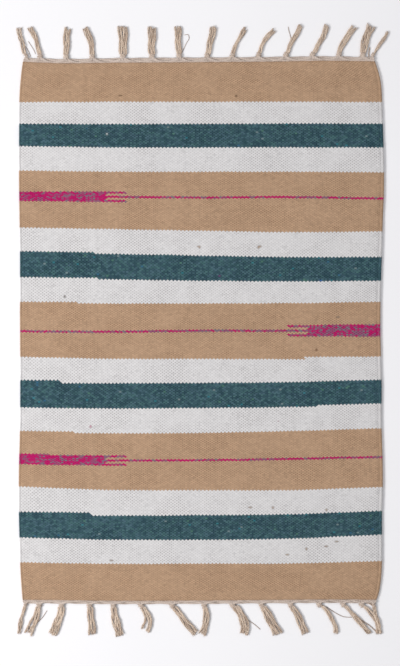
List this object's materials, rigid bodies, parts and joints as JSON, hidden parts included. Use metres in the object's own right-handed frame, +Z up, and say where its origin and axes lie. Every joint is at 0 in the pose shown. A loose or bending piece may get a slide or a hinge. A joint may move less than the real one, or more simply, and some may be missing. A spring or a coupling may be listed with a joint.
{
  "type": "flat-woven kilim rug with knotted tassels",
  "caption": "Small flat-woven rectangular rug with cross stripes, corded selvedges and knotted tassels along both ends, lying flat.",
  "frame": {"origin": "on the floor under the middle of the rug, at the bottom centre of its bounding box", "axes": "+X across the width, +Y along the length from one fringe to the other, +Z up"},
  "size_m": [0.6167, 1.015, 0.0054],
  "materials": {
    "woven_cotton": "matte",
    "fringe_cotton": "matte"
  },
  "bodies": {
    "root": {"woven_field": "woven_cotton", "fringe_far": "fringe_cotton", "fringe_near": "fringe_cotton"}
  },
  "joints": []
}
